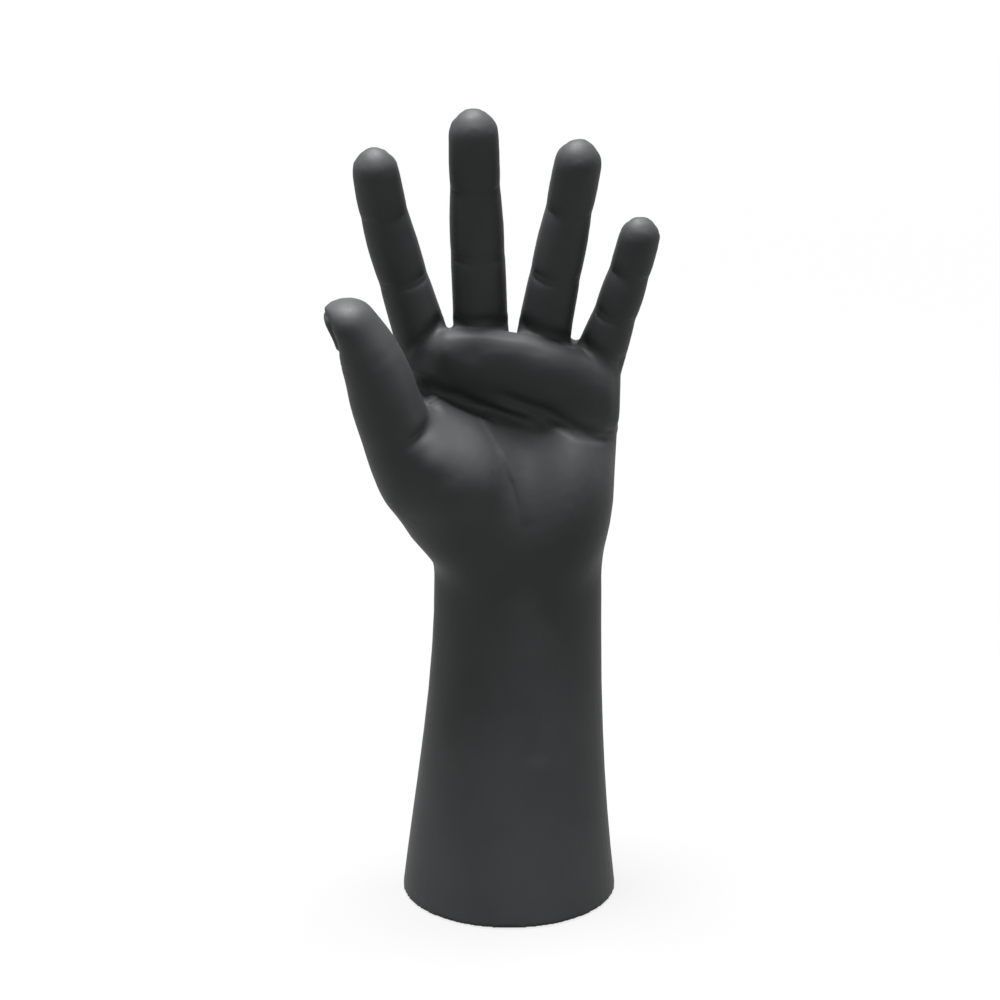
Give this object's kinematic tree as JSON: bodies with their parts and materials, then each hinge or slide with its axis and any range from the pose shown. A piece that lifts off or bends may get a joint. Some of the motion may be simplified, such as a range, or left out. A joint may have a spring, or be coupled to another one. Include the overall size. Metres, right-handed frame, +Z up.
{
  "type": "hand jewelry stand",
  "caption": "Upright display hand cut flat at the forearm, palm forward with fingers spread and thumb raised, for showing rings, bracelets, watches and chains.",
  "frame": {"origin": "centre of the pad's underside, on the table", "axes": "+Z up along the forearm, +X towards the little finger, -Y out of the palm"},
  "size_m": [0.1104, 0.0761, 0.2813],
  "materials": {
    "skin": "matte black moulded vinyl",
    "cap": "fine satin, black",
    "ballast": "raw casting",
    "fixings": "zinc plated",
    "pad": "black non-slip foam"
  },
  "bodies": {
    "root": {"hand_shell": "skin", "base_cap": "cap", "ballast_weight": "ballast", "ballast_bolt": "fixings", "ballast_washer": "fixings", "ballast_nut": "fixings", "base_pad": "pad"}
  },
  "joints": []
}
